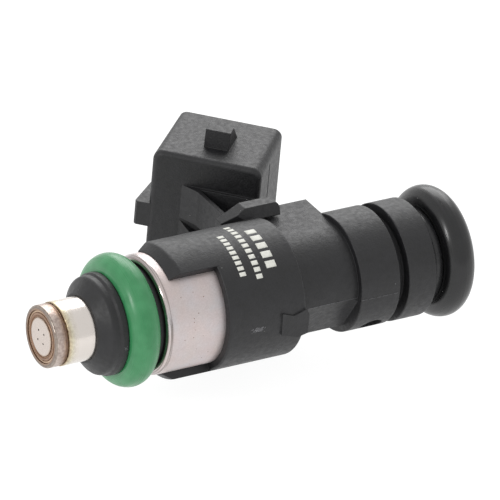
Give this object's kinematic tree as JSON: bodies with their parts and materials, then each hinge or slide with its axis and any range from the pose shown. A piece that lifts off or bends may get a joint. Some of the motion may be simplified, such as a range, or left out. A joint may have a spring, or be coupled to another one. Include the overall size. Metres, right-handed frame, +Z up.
{
  "type": "fuel injector",
  "caption": "Electromagnetic port fuel injector with a slanted rectangular plug socket, sealing rings, a metal pot, an orifice-disc nozzle and a sprung ball valve.",
  "frame": {"origin": "on the injector's axis, at the middle of the lower O-ring, which seals in the manifold", "axes": "+X along the axis from nozzle to fuel inlet, +Y on the plug socket's side, +Z up, square to the plane of symmetry of the moulded body; the injector is stored lying down"},
  "size_m": [0.0511, 0.0334, 0.02],
  "materials": {
    "moulded_body": "glass-filled nylon, fine moulded grain, dark grey-black",
    "plated_pot": "nickel plated steel, satin, warm grey",
    "nozzle_steel": "turned stainless steel, satin, heat tint at the weld",
    "orifice_steel": "thin stainless disc, matt",
    "bright_steel": "ground and polished steel",
    "magnetic_steel": "turned magnetic steel",
    "spring_wire": "drawn spring wire",
    "bobbin_plastic": "natural nylon",
    "enamelled_copper": "enamelled copper winding",
    "tinned_brass": "tin plated brass strip",
    "ring_plastic": "black nylon, moulded",
    "green_rubber": "green fluorocarbon rubber, smooth with a soft sheen",
    "black_rubber": "black nitrile rubber, smooth with a soft sheen",
    "filter_brass": "drawn brass",
    "filter_plastic": "natural nylon",
    "filter_gauze": "fine woven nylon gauze"
  },
  "bodies": {
    "injector": {"housing": "moulded_body", "magnet_pot": "plated_pot", "nozzle_tube": "nozzle_steel", "orifice_disc": "orifice_steel", "valve_seat": "bright_steel", "guide_ring": "bright_steel", "return_spring": "spring_wire", "nonmagnetic_sleeve": "bright_steel", "inner_pole": "magnetic_steel", "adjusting_tube": "bright_steel", "lower_flux_washer": "magnetic_steel", "upper_flux_washer": "magnetic_steel", "coil_bobbin": "bobbin_plastic", "coil_winding": "enamelled_copper", "coil_lead_upper": "enamelled_copper", "coil_lead_lower": "enamelled_copper", "terminal_upper": "tinned_brass", "terminal_lower": "tinned_brass", "support_ring": "ring_plastic", "lower_o_ring": "green_rubber", "lower_backup_washer": "ring_plastic", "upper_backup_ring": "ring_plastic", "upper_o_ring": "black_rubber", "inlet_tube": "nozzle_steel", "filter_collar": "filter_brass", "filter_frame": "filter_plastic", "filter_mesh": "filter_gauze"},
    "needle": {"valve_ball": "bright_steel", "needle_tube": "bright_steel", "armature": "magnetic_steel"}
  },
  "joints": [
    {"name": "needle_lift", "type": "slide", "parent": "injector", "child": "needle", "axis": [1, 0, 0], "range_m": [0, 0.00008], "stiffness_N_per_m": 1500, "springref_m": -0.0015, "deforming": ["return_spring"]}
  ]
}
